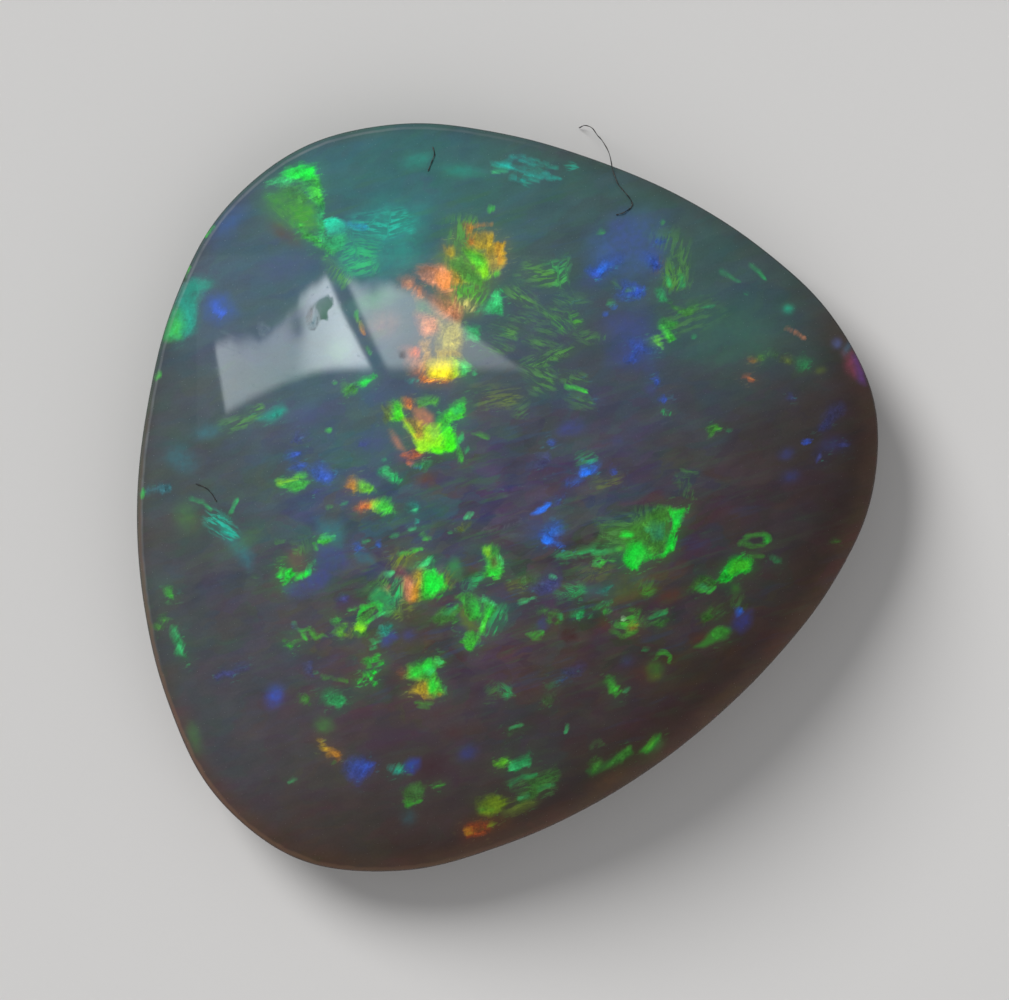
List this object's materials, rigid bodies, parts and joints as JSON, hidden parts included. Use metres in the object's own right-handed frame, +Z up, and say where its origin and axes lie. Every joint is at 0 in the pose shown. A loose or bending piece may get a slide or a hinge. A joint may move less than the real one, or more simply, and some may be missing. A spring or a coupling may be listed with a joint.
{
  "type": "polished freeform opal cabochon",
  "caption": "Loose polished opal with a smooth high dome, a rounded-triangle outline, a rounded girdle and a flat base to rest on.",
  "frame": {"origin": "middle of the stone's box in plan, on the plane of its flat base", "axes": "+Z up out of the dome, +X and +Y along the base, with the three blunt corners towards +X, upper left and lower left"},
  "size_m": [0.014, 0.0142, 0.0057],
  "materials": {
    "opal": "glossy polish over a dark slate body with a play of colour, mostly green with blue, teal, yellow and orange"
  },
  "bodies": {
    "root": {"opal": "opal"}
  },
  "joints": []
}
